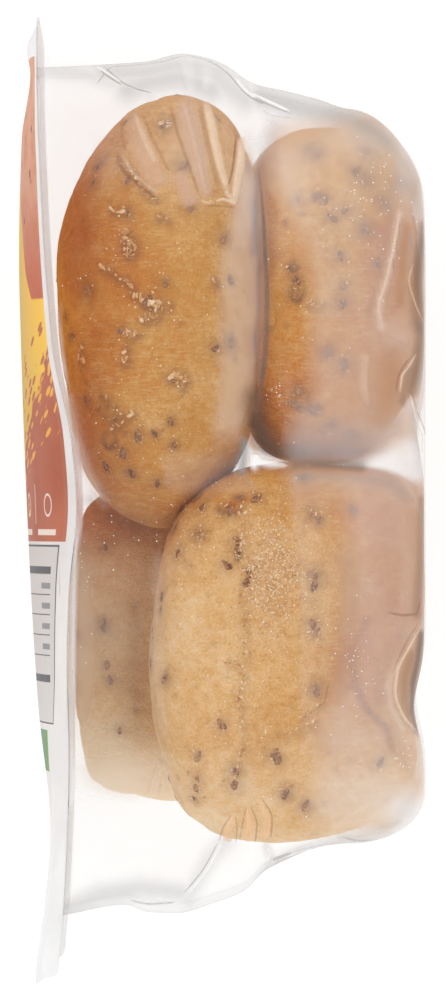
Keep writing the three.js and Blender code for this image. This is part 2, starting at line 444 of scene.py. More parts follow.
# The ones that show best, as pixels of the photograph
seeds_seen = {
    "roll_upper_left": [
        (165, 124), (183, 166), (128, 180), (93, 182), (98, 165), (190, 207), (127, 213), (225, 238),
        (251, 252), (131, 246), (165, 283), (146, 302), (158, 306), (230, 281), (88, 290), (121, 331),
        (172, 379), (138, 436), (155, 434), (174, 445), (123, 453), (131, 473), (171, 422), (116, 421),
        (216, 348), (230, 343), (106, 467), (158, 483), (150, 300), (86, 401)],
    "roll_upper_right": [
        (308, 152), (314, 157), (364, 156), (355, 173), (359, 178), (365, 182), (298, 199), (316, 197),
        (324, 198), (345, 211), (333, 218), (365, 229), (383, 203), (391, 186), (340, 256), (343, 286),
        (342, 302), (293, 266), (296, 280), (295, 292), (376, 265), (298, 391), (303, 407), (293, 403),
        (314, 408), (330, 424), (349, 431), (328, 352), (344, 364)],
    "roll_lower_front": [
        (202, 507), (229, 511), (240, 498), (257, 498), (199, 535), (237, 540), (238, 548), (249, 572),
        (247, 582), (227, 565), (303, 477), (313, 516), (319, 521), (353, 510), (315, 577), (314, 586),
        (313, 624), (316, 633), (178, 553), (165, 679), (316, 690), (222, 725), (274, 755), (278, 759),
        (198, 756), (236, 771), (235, 784), (197, 778), (196, 788), (194, 799), (286, 794), (306, 806),
        (381, 761)],
    "roll_lower_back": [
        (106, 548), (104, 626), (106, 665), (110, 680), (79, 636), (120, 730)],
}
# Lines along which the skin is torn into crumbs: pixels, how many, and how far they stray
torn_seen = {
    "roll_upper_left": [
        ([(119, 159), (131, 171), (143, 188), (157, 200)], 60, 1.3),
        ([(124, 234), (131, 242), (127, 258)], 46, 3.0),
        ([(100, 265), (118, 276), (137, 290)], 26, 1.0),
        ([(133, 292), (150, 302), (163, 306), (150, 314), (138, 318)], 60, 3.0),
        ([(128, 333), (136, 334)], 18, 1.5), ([(125, 349), (124, 362)], 20, 1.4),
        ([(170, 376), (180, 377), (187, 381)], 40, 2.4),
        ([(110, 209), (122, 211), (130, 215)], 14, 0.8), ([(160, 121), (168, 125)], 14, 2.0),
        ([(82, 338), (80, 368)], 16, 1.2), ([(153, 215), (169, 218)], 8, 1.0),
        ([(213, 276), (216, 284)], 8, 1.0), ([(102, 395), (118, 424), (132, 410)], 22, 5.0)],
    "roll_upper_right": [
        ([(305, 301), (318, 307), (322, 300)], 16, 1.0)],
    "roll_lower_front": [
        ([(243, 504), (241, 560), (244, 640), (240, 700), (243, 745), (238, 776)], 260, 2.2),
        ([(246, 562), (256, 566), (252, 580), (244, 590)], 60, 2.6),
        ([(196, 524), (203, 532), (199, 543)], 34, 2.0),
        ([(234, 536), (240, 546), (236, 554)], 16, 2.2),
        ([(176, 556), (182, 558), (190, 566)], 16, 2.0),
        ([(156, 596), (152, 626), (154, 650)], 30, 2.0),
        ([(180, 497), (190, 488), (204, 484)], 26, 2.4), ([(303, 594), (318, 600)], 14, 1.4),
        ([(292, 566), (302, 574)], 46, 5.0), ([(316, 618), (319, 630), (315, 640)], 16, 1.2),
        ([(225, 664), (235, 662), (245, 668)], 16, 0.9),
        ([(325, 699), (317, 707), (304, 717)], 20, 0.8),
        ([(281, 790), (288, 784), (294, 787)], 16, 0.9), ([(222, 778), (229, 780)], 12, 2.0),
        ([(192, 775), (198, 800)], 22, 3.0), ([(283, 738), (300, 726), (318, 722)], 18, 2.4)],
    "roll_lower_back": [],
}
flake_size = {"roll_upper_left": 1.0, "roll_upper_right": 0.8, "roll_lower_front": 0.6,
              "roll_lower_back": 0.8}
# Blisters that have burst: pixel, reach across and along
blisters_seen = {
    "roll_upper_left": [
        (129, 246, 6, 9), (150, 303, 9, 6), (110, 440, 6, 8)],
    "roll_upper_right": [
        (297, 290, 7, 11), (293, 266, 5, 5), (301, 398, 7, 12), (314, 407, 5, 6)],
    "roll_lower_front": [
        (190, 495, 10, 6), (230, 508, 12, 5), (238, 548, 3, 11)],
    "roll_lower_back": [],
}
# Patches rubbed to fine crumbs by the film: pixel, spread across and along, and how many
rubbed_seen = {
    "roll_upper_left": [
        (150, 330, 50, 110, 260), (130, 430, 26, 30, 60)],
    "roll_upper_right": [
        (320, 290, 46, 90, 120)],
    "roll_lower_front": [
        (272, 574, 15, 32, 1900), (235, 650, 60, 110, 500), (200, 520, 24, 22, 120)],
    "roll_lower_back": [],
}
seeds_unseen = 46             # more on each roll, where the photograph doesn't look
facing_up = 0.35              # how far a crust's way out may point up there
linseed = np.array([2.0, 1.1, 0.7])     # mm, half its length, width and thickness
flake_shape = np.array([1, 0.5, 0.3])   # a torn flake beside a seed, to its half length
flakes_beside = 4             # of them, round each seed
shade_side = (0.5, -0.9, 0.0)           # mm, from a flake to the painted shadow that it casts


class Scatter:
    """Many small bodies of one kind, joined into one mesh."""

    def __init__(self, detail, seed):
        self.shape, self.shape_faces = ball(detail)
        self.draw = np.random.default_rng(seed)
        self.points, self.faces, self.tones = [], [], []
        self.count = 0

    def add(self, point, out, halves, rough, sunk, along=None):
        """One body on a surface, laid along a direction or turned by chance."""
        draw = self.draw
        body = self.shape * (1 + rough * lumps(self.shape, 0.9, draw.integers(1 << 30), 8)[:, None])
        body[:, 1] *= 1 - 0.25 * body[:, 0]          # one end is narrower
        body = body * halves
        if along is None:
            turn = draw.uniform(0, 2 * math.pi)
            along = (math.cos(turn), math.sin(turn), 0.1)
        across = np.cross(out, along)
        across /= np.linalg.norm(across)
        side = np.cross(across, out)
        placed = point - out * sunk + body @ np.array([side, across, out])
        self.points.append(placed)
        self.faces.append(self.shape_faces + self.count * len(self.shape))
        self.tones.append(np.full(len(placed), draw.uniform()))
        self.count += 1

    def piece(self, name, finish, slot):
        made = mesh_piece(name, np.concatenate(self.points), np.concatenate(self.faces))
        spread(made, "tone", np.concatenate(self.tones))
        made.data.materials.append(finish)
        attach(made, "root")
        return made


def seed_finish():
    made = Finish("seed_coat")
    colour = made.ramp(made.kept("tone"), (0.0, linear(112, 62, 38)), (0.35, linear(140, 90, 54)),
                       (0.7, linear(122, 80, 64)), (1.0, linear(156, 112, 76)))
    colour = made.over(colour, made.ramp(made.noise(0.7, 3), (0.44, 0.0), (0.62, 0.9)),
                       linear(190, 138, 90))
    return made.done(made.body(colour, 0.5, 0.3, Normal=made.bump(made.noise(0.5, 3), 0.2, 0.5)))


def dry_skin_finish(name, paler):
    made = Finish(name)
    shade = made.scaled(made.kept("tone"), 0.7, made.scaled(made.noise(0.9, 3), 0.4, paler))
    colour = made.ramp(shade, (0.1, linear(190, 130, 74)), (0.5, linear(222, 172, 118)),
                       (0.95, linear(250, 226, 192)))
    return made.done(made.body(colour, 0.65, 0.2, Normal=made.bump(made.noise(0.4, 3), 0.2, 0.6)))


seeds = Scatter(6, 21)
torn = Scatter(3, 22)
crumbs = Scatter(2, 23)


def stud_with_seeds(roll):
    for pixel in seeds_seen[roll.name]:
        found = roll.under(pixel)
        if found:
            size = seeds.draw.uniform(0.55, 1.0)
            way = (seeds.draw.normal(0, 0.6), 1.0, 0.0)
            seeds.add(*found, linseed * size, 0.16, 0.4 * size, way)
            roll.mark(found[0], seeds.draw.uniform(1.6, 3.0), seeds.draw.uniform(0.3, 0.55))
            for _ in range(flakes_beside):
                beside = found[0] + seeds.draw.normal(0, (1.0, 1.6, 0.0))
                torn.add(beside, found[1], torn.draw.uniform(0.2, 0.55) * flake_shape, 0.35, 0.1)


def tear_skin(roll):
    """Puts flakes along the tears. Each stands up a little and lies roughly along its tear."""
    size = flake_size[roll.name]
    for path, count, stray in torn_seen[roll.name]:
        path = np.array(path, float)
        walked = distance_along(path)
        way = (path[-1] - path[0]) * (1, -1) / np.linalg.norm(path[-1] - path[0])
        for at in torn.draw.uniform(0, walked[-1], count):
            found = roll.under([np.interp(at, walked, path[:, axis]) + torn.draw.normal(0, stray)
                                for axis in (0, 1)])
            if found:
                out = found[1] + torn.draw.normal(0, 0.3, 3)
                out /= np.linalg.norm(out)
                laid = (*(way + torn.draw.normal(0, 0.5, 2)), 0.0)
                half_length = (0.2 + 0.8 * torn.draw.uniform() ** 2) * size
                halves = half_length * np.array([1, torn.draw.uniform(0.35, 0.7), 0.25])
                torn.add(found[0], out, halves, 0.4, 0.0, laid)
                # painted shadow to one side of each flake
                roll.mark(found[0] + shade_side, 1.2, 0.45 * size ** 2)


def burst_blisters(roll):
    """Leaves the dark rim of each blister, with painted shade that makes it darkest at its lower side.
    """
    for x, y, across, along in blisters_seen[roll.name]:
        for turn in np.linspace(0, 2 * math.pi, 12, endpoint=False):
            found = roll.under((x + across * math.cos(turn), y + along * math.sin(turn)))
            if found:
                roll.mark(found[0], 1.0, 0.5 + 0.3 * math.sin(turn))


def rub_to_crumbs(roll):
    for x, y, across, along, count in rubbed_seen[roll.name]:
        for _ in range(count):
            found = roll.under(crumbs.draw.normal((x, y), (across, along)))
            if found:
                crumbs.add(*found, np.full(3, crumbs.draw.uniform(0.08, 0.25)), 0.3, -0.04)


def stud_far_side(roll):
    far_side = np.flatnonzero(roll.out[:, 2] < facing_up)
    for index in seeds.draw.choice(far_side, seeds_unseen, replace=False):
        size = seeds.draw.uniform(0.5, 1.0)
        seeds.add(roll.points[index], roll.out[index], linseed * size, 0.22, 0.45 * size)
        roll.mark(roll.points[index], 2.0, 0.5)


for roll in crusts:
    stud_with_seeds(roll)
    tear_skin(roll)
    burst_blisters(roll)
    rub_to_crumbs(roll)
    stud_far_side(roll)

seeds.piece("linseed", seed_finish(), "seeds")
torn.piece("torn_skin", dry_skin_finish("torn_skin", -0.1), "crust")
crumbs.piece("crumbs", dry_skin_finish("crumbs", 0.15), "crust")

for roll in crusts:
    piece = mesh_piece(roll.name, roll.points, ball_faces)
    spread(piece, "bake", roll.bake)
    spread(piece, "stain_and_shadow", roll.stain_and_shadow)
    piece.data.materials.append(crust)
    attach(piece, "root")

# ---------------------------------------------------------------- the clear pocket
# A soft film drawn into a deep mould, so that it stands proud of the rolls at both ends, and
# pulled back onto them by the gas flush. It rests on its lower long wall, which sags flat.
pack_length = 245.0
pack_depth = 104.0
pack_width = 112.0
long_seal = 8.5
top_seal = 13.0
bottom_seal = 17.0
half_length = pack_length / 2
half_width = pack_width / 2
back_x = pack_depth / 2


def line(*knots):
    """A smooth line through a few (place, value) pairs, level beyond both ends."""
    places, values = np.array(knots, float).T
    rise = np.diff(values) / np.diff(places)
    before, after = rise[:-1], rise[1:]
    slopes = np.zeros(len(places))
    turning = before * after > 0
    slopes[1:-1][turning] = (2 * before * after / np.where(turning, before + after, 1))[turning]

    def follow(at):
        at = np.clip(np.asarray(at, float), places[0], places[-1])
        k = np.clip(np.searchsorted(places, at, "right") - 1, 0, len(places) - 2)
        span = places[k + 1] - places[k]
        t = (at - places[k]) / span
        arrive = t * t * (3 - 2 * t)
        return (values[k] * (1 - arrive) + values[k + 1] * arrive
                + slopes[k] * span * t * (1 - t) ** 2 - slopes[k + 1] * span * t * t * (1 - t))
    return follow


# The lid as mm in X for mm along Y: its long edges, its crown, and how much of that rise is
# already there at the long seals
edge_x = line((-122, -41.3), (-104, -40.2), (-64, -38.8), (-40, -39.3), (-22, -38.7), (-2, -36.9),
              (15, -38.3), (38, -42.9), (76, -45.7), (109, -46.8))
crown_x = line((-122, -47.8), (-102, -45.4), (-84, -44.0), (-51, -47.2), (-15, -49.4),
               (35, -51.4), (62, -back_x), (91, -51.3), (108, -49.0), (114, -50.0), (122, -47.2))
seal_share = line((-110, 0.6), (-76, 0.6), (-40, 0.28), (25, 0.21), (76, 0.3), (110, 0.4))
end_bow = 4.4                 # mm that the flange's corners lie back from the middle of its ends
end_share = line((half_length - 26, 0), (half_length, 1))


def bowed(y, z):
    """Y of a point on the lid, moved with the bow of the pack's ends."""
    out = np.abs(z - half_width) / half_width
    return y - np.sign(y) * end_bow * out ** 1.6 * end_share(np.abs(y))


def lid_x(y, z):
    """The lid's outer face: bowed along the pack and domed across it."""
    out = np.minimum(np.abs(z - half_width) / half_width, 1)
    seal = 1 - long_seal / half_width
    share = seal_share(y)
    rise = np.where(out < seal, 1 - (1 - share) * (out / seal) ** 2.2,
                    share * (1 - out) / (1 - seal))
    return edge_x(y) * (1 - rise) + crown_x(y) * rise


# The four walls in mm, from the mouth at 0 to the back at 1
top_wall_y = line((0, half_length - top_seal), (0.19, 110.1), (0.36, 111), (0.47, 112.9),
                  (0.54, 112), (0.6, 110), (0.69, 105.2), (0.8, 103), (0.9, 101), (1, 99))
bottom_wall_y = line((0, -half_length + bottom_seal), (0.06, -104.4), (0.25, -101.7),
                     (0.33, -103.6), (0.42, -103.9), (0.54, -101.3), (0.64, -98.3),
                     (0.72, -92.7), (0.95, -86.6), (1, -86.4))
near_wall_z = line((0, pack_width - long_seal), (0.15, 104.6), (0.5, 105.4), (0.8, 104.4),
                   (1, 102))
far_wall_z = line((0, long_seal), (0.12, 1.5), (0.25, -1.5), (1, -1.5))
mouth_radius = 16.0
wall_radius = 24.0
top_round = 19.0
bottom_round = 12.0
side_round = 15.0
round_start_x = back_x - top_round
film_gap = 0.5                # mm that the pocket's side of the seal lies inside the lid's face

# Soft folds and dents, in mm: the start and end of each, its width, and how it moves the film
soft_folds = [
    ((9, 84, 105), (12, 20, 105), 9, (0, 0, -4)),
    ((-30, -2, 105), (46, 8, 105), 10, (0, 0, -3.5)),
    ((52, 20, 92), (52, 14, 40), 9, (-2, 0, 0)),
    ((52, -52, 100), (52, -50, 8), 9, (-2.5, 0, 0)),
    ((-26, -97, 105), (14, -96, 105), 14, (0, 0, -6)),
    ((-30, 110, 105), (8, 106, 105), 13, (0, -6, -3)),
    ((52, -80, 92), (52, 90, 92), 44, (-1.8, 0, 0)),
    ((49, 91, 100), (49, 91, 30), 14, (-1.6, -2.2, 0)),
]


def off_line(points, start, end):
    """How far points lie off a straight line between two others."""
    along = end - start
    share = np.clip((points - start) @ along / (along @ along), 0, 1)
    return np.linalg.norm(points - start - share[:, None] * along, axis=1)


def folded(points):
    """Moves points by every soft fold that they lie near."""
    moved = points.copy()
    for start, end, width, push in soft_folds:
        start, end, push = np.array([start, end, push], float)
        moved += np.exp(-(off_line(points, start, end) / width) ** 2)[:, None] * push
    moved[:, 0] = np.minimum(moved[:, 0], back_x)
    return moved


fineness = 1.0    # steps of the film's mesh
long_steps = int(200 * fineness)
short_steps = int(92 * fineness)
corner_steps = int(24 * fineness)
seal_steps = int(12 * fineness) + 2
wall_steps = int(100 * fineness)
round_steps = int(30 * fineness)
back_steps = int(50 * fineness)
dome_steps = int(60 * fineness)


def ring(bottom, top, far, near, radius):
    """A rectangle with round corners as (y, z) points, always in the same steps."""
    quarter = math.pi / 2
    corners = [(top - radius, near - radius), (bottom + radius, near - radius),
               (bottom + radius, far + radius), (top - radius, far + radius)]
    points = []
    for turn, (y, z) in enumerate(corners):
        angle = (turn + np.linspace(0, 1, corner_steps + 1)) * quarter
        arc = np.stack([y + radius * np.cos(angle), z + radius * np.sin(angle)], -1)
        next_y, next_z = corners[(turn + 1) % 4]
        end = np.array([next_y + radius * math.cos((turn + 1) * quarter),
                        next_z + radius * math.sin((turn + 1) * quarter)])
        steps = (long_steps, short_steps)[turn % 2]
        share = np.linspace(0, 1, steps + 1)[1:-1, None]
        points += [arc, arc[-1] * (1 - share) + end * share]
    return np.concatenate(points)


# Rectangles on the lid: bottom, top, far, near and corner radius
flange_rim = np.array([-half_length, half_length, 0.0, pack_width, 3.0])
mouth = np.array([-half_length + bottom_seal, half_length - top_seal, long_seal,
                  pack_width - long_seal, mouth_radius])


def shrunk(rectangle, share):
    """A rectangle made smaller about its middle."""
    bottom, top, far, near, radius = rectangle
    y, z = (bottom + top) / 2, (far + near) / 2
    return np.array([y + (bottom - y) * share, y + (top - y) * share,
                     z + (far - z) * share, z + (near - z) * share, radius * share])


def on_lid(rectangle, depth):
    """A rectangle laid on the lid, so deep under its face."""
    y, z = ring(*rectangle).T
    return np.stack([lid_x(y, z) + depth, bowed(y, z), z], -1)


def skin(rings):
    """Points and faces of a film that runs through closed rings and shuts on the last one."""
    count = len(rings[0])
    side = np.arange(count)
    following = (side + 1) % count
    start = np.arange(len(rings) - 1)[:, None] * count
    faces = np.stack([start + side, start + following, start + count + following,
                      start + count + side], -1).reshape(-1, 4).tolist()
    last = (len(rings) - 1) * count
    faces += [[last + here, last + there, last + count] for here, there in zip(side, following)]
    return np.concatenate(rings + [rings[-1].mean(0, keepdims=True)]), faces


def pocket_rings():
    """The pocket's rings, from the rim of its seal over its four walls to the back."""
    rings = [on_lid(flange_rim + (mouth - flange_rim) * share, film_gap)
             for share in np.linspace(0, 1, seal_steps)]
    for share in np.linspace(0, 1, wall_steps)[1:]:
        y, z = ring(bottom_wall_y(share), top_wall_y(share), far_wall_z(share),
                    near_wall_z(share), mouth_radius + (wall_radius - mouth_radius) * share).T
        x = (lid_x(y, z) + film_gap) * (1 - share) + round_start_x * share
        y = bowed(y, z) * (1 - share) + y * share
        rings.append(folded(np.stack([x, y, z], -1)))
    for angle in np.linspace(0, math.pi / 2, round_steps)[1:]:
        inset = 1 - math.cos(angle)
        back_face = (bottom_wall_y(1) + bottom_round * inset, top_wall_y(1) - top_round * inset,
                     far_wall_z(1) + side_round * inset, near_wall_z(1) - side_round * inset,
                     wall_radius - side_round * inset)
        y, z = ring(*back_face).T
        x = np.full(len(y), round_start_x + top_round * math.sin(angle))
        rings.append(folded(np.stack([x, y, z], -1)))
    for share in np.linspace(1, 0, back_steps)[1:-1]:
        y, z = ring(*shrunk(back_face, share)).T
        rings.append(folded(np.stack([np.full(len(y), back_x), y, z], -1)))
    return rings


film, film_faces = skin(pocket_rings())

# the film lies on the rolls and never inside them
film_clearance = 0.55         # mm, from a bare roll to the film
least_height = 0.05           # mm, of the film over the floor
for form in (upper_left, upper_right, lower_front, lower_back):
    depth = form.depth(film)
    away = film - form.middle
    wanted = 1 + film_clearance * depth / np.linalg.norm(away, axis=1)
    inside = depth < wanted
    film[inside] = form.middle + away[inside] * (wanted / depth)[inside][:, None]
film[:, 2] = np.maximum(film[:, 2], least_height)

# How milky the film is. It is clear where it lies on a crust and clouded where it stands off
# one. A veil lies between two lines down the photograph, given as (y, x) pixels. Then come how
# many pixels soft its edges are, its top and bottom, and how strong it is.
clear_film = 0.012            # how milky the film is everywhere
clearest_film = 0.01          # and where a patch is clearer
nowhere = line((0, 900), (1000, 900))    # past the photograph's right side
veils = [
    (line((120, 232), (236, 222), (262, 214), (375, 214), (450, 206)),
     line((120, 262), (236, 268), (300, 271), (330, 269), (380, 263), (440, 250)),
     14.0, 150, 456, 0.2),
    (line((440, 162), (484, 162), (500, 180)), line((440, 236), (500, 262)), 4.0, 446, 500, 0.09),
    (line((120, 254), (180, 262), (240, 292), (300, 300), (385, 300), (420, 284), (460, 274)),
     nowhere, 24.0, 100, 510, 0.23),
    (line((300, 58), (380, 64), (430, 72), (470, 77), (520, 77), (560, 71), (700, 67), (800, 66)),
     line((300, 62), (380, 68), (430, 76), (470, 83), (520, 82), (560, 78), (700, 75), (800, 73)),
     2.0, 300, 810, 0.5),
    (line((455, 287), (510, 289), (640, 298)), nowhere, 7.0, 455, 760, 0.1),
    (line((455, 330), (574, 338), (662, 337), (700, 324), (720, 311), (760, 306), (840, 296)),
     nowhere, 26.0, 450, 862, 0.2),
]
# Smaller patches: pixel, reach across and along, and how much milkier or clearer
cloudy_patches = [
    (285, 165, 30, 40, 0.12), (264, 425, 16, 46, -0.14), (330, 440, 50, 24, 0.12),
    (395, 440, 40, 30, 0.1), (110, 150, 40, 36, 0.1), (250, 190, 18, 56, 0.2),
    (395, 342, 22, 22, 0.08), (190, 146, 50, 54, 0.18), (385, 800, 60, 40, 0.16),
    (408, 812, 26, 22, 0.5),
    (285, 236, 24, 40, 0.12), (286, 396, 22, 30, 0.07), (352, 786, 60, 50, 0.08),
    (80, 640, 14, 130, 0.12), (108, 650, 50, 150, 0.1), (375, 130, 60, 26, 0.3),
    (408, 165, 14, 40, 0.3), (118, 780, 50, 24, 0.2), (225, 780, 90, 70, 0.05),
]
# Painted shade and painted highlights on the film, where it turns away, where shadow lies between
# the rolls and where a crease catches the light, and darker or paler over the crust: pixels along
# a stroke, its width, strength and tone. A bare number is a tone between two of the named ones.
dark, tan, grey, mauve, pale, clear_white = 0.0, 0.25, 0.5, 0.7, 0.85, 1.0
painted_shade_and_light = [
    # the empty film above the rolls
    ([(44, 70), (84, 74), (120, 86), (150, 94)], 9, 0.22, grey),
    ([(104, 70), (140, 72), (184, 66), (216, 76), (246, 100)], 14, 0.36, grey),
    ([(128, 90), (150, 82), (180, 78), (212, 90)], 13, 0.42, grey),
    ([(262, 98), (300, 108), (350, 116), (392, 140)], 12, 0.54, grey),
    ([(392, 140), (414, 175), (420, 230)], 9, 0.3, grey),
    ([(262, 104), (275, 124), (262, 150)], 9, 0.2, grey),
    # between the two upper rolls
    ([(259, 168), (263, 230), (267, 300), (265, 340), (260, 380), (254, 410)], 5, 0.4, 0.3),
    ([(254, 398), (257, 426), (272, 446)], 12, 0.75, dark),
    ([(250, 436), (262, 449), (286, 459)], 5, 0.8, dark),
    ([(250, 432), (251, 442), (256, 448)], 5, 0.8, 0.3),
    ([(288, 450), (330, 448), (372, 434)], 17, 0.26, grey),
    ([(246, 440), (244, 454), (242, 470)], 5, 0.8, grey),
    # the upper right roll's back, where the film is creased over it
    ([(399, 214), (394, 245), (387, 278), (380, 297), (378, 312), (382, 328)], 4, 0.5, pale),
    ([(392, 216), (387, 245), (378, 278), (371, 300), (370, 316)], 6, 0.24, mauve),
    ([(407, 228), (403, 262), (400, 302)], 6, 0.5, tan),
    ([(424, 226), (420, 256), (416, 284), (421, 330)], 8, 0.9, 0.06),
    ([(423, 330), (419, 360), (413, 392)], 8, 0.85, 0.1),
    ([(412, 236), (410, 268), (414, 298), (420, 320)], 4, 0.36, mauve),
    ([(392, 330), (409, 344)], 9, 0.16, pale),
    ([(392, 360), (391, 392), (382, 420)], 15, 0.44, tan),
    ([(411, 370), (407, 386), (402, 402)], 6, 0.5, dark),
    ([(366, 358), (364, 382), (370, 408)], 5, 0.26, pale),
    ([(414, 390), (418, 430), (420, 470)], 7, 0.3, grey),
    ([(284, 462), (330, 460), (368, 448), (396, 420)], 8, 0.26, grey),
    # the white gap, and the shadow over the front roll's end
    ([(256, 456), (254, 466)], 4, 0.9, clear_white),
    ([(254, 461), (270, 464), (286, 464)], 4, 0.8, clear_white),
    ([(296, 465), (330, 465), (360, 467)], 8, 0.6, dark),
    ([(300, 473), (350, 475), (392, 483), (412, 500)], 8, 0.32, grey),
    ([(392, 440), (404, 452), (408, 468)], 9, 0.3, pale),
    # the front roll's back, with a deep dent
    ([(422, 500), (421, 560), (417, 614)], 7, 0.8, 0.12),
    ([(390, 560), (392, 602)], 14, 0.2, tan),
    ([(346, 560), (350, 600), (346, 650), (340, 690)], 13, 0.3, mauve),
    ([(418, 488), (420, 560), (416, 616)], 11, 0.4, tan),
    ([(404, 640), (384, 664), (378, 700)], 9, 0.2, mauve),
    ([(366, 620), (352, 650), (355, 685), (368, 712), (387, 728), (393, 750)], 5, 0.46, mauve),
    ([(393, 735), (405, 760), (412, 775)], 8, 0.2, mauve),
    ([(412, 655), (405, 678), (405, 702), (412, 720)], 7, 0.65, 0.16),
    ([(422, 634), (418, 660), (413, 684), (412, 712), (418, 730)], 5, 0.95, 0.04),
    ([(400, 660), (388, 684), (390, 706), (404, 728)], 4, 0.3, pale),
    ([(424, 745), (424, 780), (418, 804)], 6, 0.4, pale),
    # the empty film below the rolls
    ([(66, 908), (100, 894), (140, 888), (180, 892)], 11, 0.34, grey),
    ([(187, 898), (210, 858), (226, 842)], 10, 0.26, grey),
    ([(266, 846), (272, 860), (262, 878)], 5, 0.3, grey),
    ([(278, 864), (300, 854), (340, 846)], 8, 0.4, grey),
    ([(350, 840), (400, 826)], 8, 0.3, grey),
    ([(340, 838), (372, 838), (400, 822)], 4, 0.4, grey),
    ([(400, 824), (418, 790), (421, 750)], 8, 0.16, grey),
    ([(66, 700), (66, 800), (64, 900)], 6, 0.2, grey),
    # beside the back roll and the upper left one
    ([(68, 400), (76, 440), (87, 474), (104, 504)], 6, 0.44, pale),
    ([(134, 610), (134, 680), (140, 730)], 15, 0.2, dark),
    ([(158, 560), (155, 660), (163, 730)], 6, 0.14, pale),
    ([(92, 500), (112, 516), (140, 526)], 8, 0.3, dark),
]


def off_path(pixels, path):
    """How many pixels each point lies off a line of pixels."""
    path = np.array(path, float)
    return np.min([off_line(pixels, *ends) for ends in zip(path[:-1], path[1:])], axis=0)


def rising(values, start, end):
    """0 up to start, 1 from end on, and evenly between."""
    return np.clip((values - start) / (end - start), 0, 1)


# The photograph's upper side is milky and shaded. On the back, the haze runs further down and
# the shade ends sooner. Heights and places are in mm.
seen = to_photo(film)
upper = rising(film[:, 2], 50, 80)
at_back = rising(film[:, 0], 30, 40)
hazy_height = upper * (1 - at_back) + at_back * rising(film[:, 2], 8, 64)
shaded_height = upper * (1 - at_back) + at_back * rising(film[:, 2], 80, 90)
turned_edge = rising(film[:, 2], 60, 105) ** 2

fog = np.full(len(film), clear_film)
for left, right, softness, top, bottom, strength in veils:
    between = rising(seen[:, 0] - left(seen[:, 1]), 0, softness)
    between *= rising(right(seen[:, 1]) - seen[:, 0], 0, softness)
    from_ends = np.minimum(seen[:, 1] - top, bottom - seen[:, 1])
    between *= rising(from_ends, 0, 2 * softness + 6)
    fog += strength * between * hazy_height
for *patch, amount in cloudy_patches:
    fog += amount * soft_patch(seen, *patch) * hazy_height

shade = np.zeros(len(film))
least_cover = 1e-9            # where no stroke is near, the tone is grey
tones, tones_weighed = np.full(len(film), grey * least_cover), np.full(len(film), least_cover)
for path, width, strength, tone in painted_shade_and_light:
    cover = strength * np.exp(-(off_path(seen, path) / width) ** 2)
    shade = np.maximum(shade, cover)
    tones += tone * cover ** 2
    tones_weighed += cover ** 2
tones /= tones_weighed
shade *= shaded_height


def pocket_finish():
    """Clear film: it hides little, bends what is behind it where it is milky, and shines, with painted
    shade and highlights laid over it.
    """
    made = Finish("clear_film")
    looked_at = made.looked_at()
    lit = made.node("LightPath").outputs["Is Shadow Ray"]
    fog_kept = made.kept("fog")
    shade_kept = made.kept("shade")
    cloud = made.noise(9, 4, 0.6)
    veil = made.times(fog_kept, made.scaled(cloud, 0.5, 0.75))
    facing = made.node("LayerWeight", {"Blend": 0.5}).outputs["Facing"]
    # painted shade along the film's upper edges, strongest where it is seen edge-on
    rim = made.times(made.math("POWER", facing, 7.0), made.kept("turned_edge"))
    rim = made.scaled(rim, 0.7, shade_kept, clamp=True)
    haze = made.body(linear(239, 233, 231), 0.35, 0.4)
    toned = made.ramp(made.kept("shade_tone"), (dark, linear(98, 70, 50)),
                      (tan, linear(176, 122, 76)), (grey, linear(150, 146, 144)),
                      (mauve, linear(172, 136, 126)), (pale, linear(236, 216, 202)),
                      (clear_white, linear(255, 255, 255)))
    # the painted shade and highlight strokes, in their tones
    painted_shade_and_highlight = made.body(toned, 0.35, 0.4)
    blur = made.node("BsdfRefraction", {"Roughness": 0.45, "IOR": 1.2})
    blurred = made.times(made.scaled(fog_kept, 3.5, -0.3, clamp=True), looked_at)
    shader = made.shaders(blurred, made.clear(0.99), blur.outputs[0])
    shader = made.shaders(made.times(veil, looked_at), shader, haze)
    shader = made.shaders(made.times(rim, looked_at), shader, painted_shade_and_highlight)
    gloss = made.node("BsdfGlossy", {"Roughness": 0.1,
                                     "Normal": made.bump(made.noise(5, 3), 0.6, 0.3)})
    shine = made.scaled(made.math("POWER", facing, 5.0), 0.4, 0.02)
    shine = made.times(shine, made.scaled(shade_kept, -0.9, 1.0))
    shine = made.times(shine, made.less(1.0, lit))
    return made.done(made.shaders(shine, shader, gloss.outputs[0]))


pocket = mesh_piece("pocket_film", film, film_faces)
spread(pocket, "fog", np.clip(fog, clearest_film, 1))
spread(pocket, "shade", shade)
spread(pocket, "shade_tone", tones)
spread(pocket, "turned_edge", turned_edge)
pocket.data.materials.append(pocket_finish())
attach(pocket, "root")
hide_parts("pocket")

# ---------------------------------------------------------------- sharp folds in the film
# Where the film was drawn thin in the mould and pulled in again, it stands up in narrow pleats.
# Their strips carry painted highlights in cream and white and painted shade in brown, grey and
# shadow tones; the dark strip between the two upper rolls is painted shadow only. They are part
# of the same film, pinched together.
film_tree = BVHTree.FromPolygons(film.tolist(), film_faces)
white, cream, peach, pink, greyed, shadow, brown = 1.0, 0.75, 0.65, 0.55, 0.3, 0.15, 0.0

